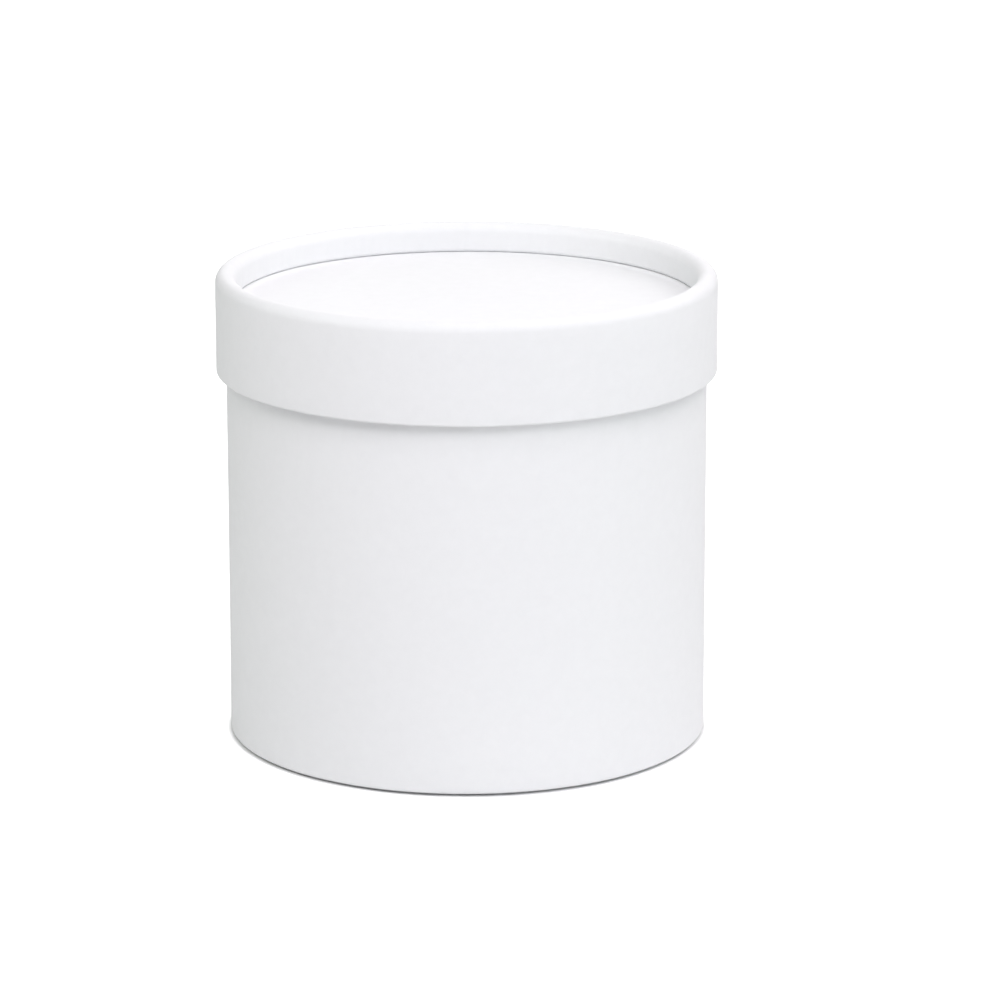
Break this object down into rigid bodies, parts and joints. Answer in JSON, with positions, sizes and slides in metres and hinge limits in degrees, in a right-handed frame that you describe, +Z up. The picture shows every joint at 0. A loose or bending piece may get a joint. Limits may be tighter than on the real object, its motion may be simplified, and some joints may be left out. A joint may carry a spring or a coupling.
{
  "type": "flower box",
  "caption": "Round paper-covered board flower box with a straight body and a telescoping lift-off lid with a rolled rim and recessed top.",
  "frame": {"origin": "centre of the face that the box stands on", "axes": "+Z up along the box's axis of revolution; the covering paper's lapped seams are towards +Y, the back"},
  "size_m": [0.127, 0.127, 0.12],
  "materials": {
    "white_wrap_paper": "matte",
    "white_card": "matte",
    "lining_paper": "matte",
    "greyboard": "matte"
  },
  "bodies": {
    "bucket": {"body_wrap": "white_wrap_paper", "body_outer_ply": "greyboard", "body_inner_ply": "greyboard", "body_lining": "lining_paper", "base_board": "greyboard", "base_floor_paper": "lining_paper", "base_pad": "white_card"},
    "lid": {"lid_wrap": "white_wrap_paper", "lid_rim_tube": "greyboard", "lid_inner_ring": "greyboard", "lid_lining": "lining_paper", "lid_top_board": "greyboard", "lid_top_paper": "white_wrap_paper", "lid_under_paper": "lining_paper"}
  },
  "joints": [
    {"name": "lid_lift", "type": "slide", "parent": "bucket", "child": "lid", "axis": [0, 0, 1], "range_m": [0, 0.055]}
  ]
}
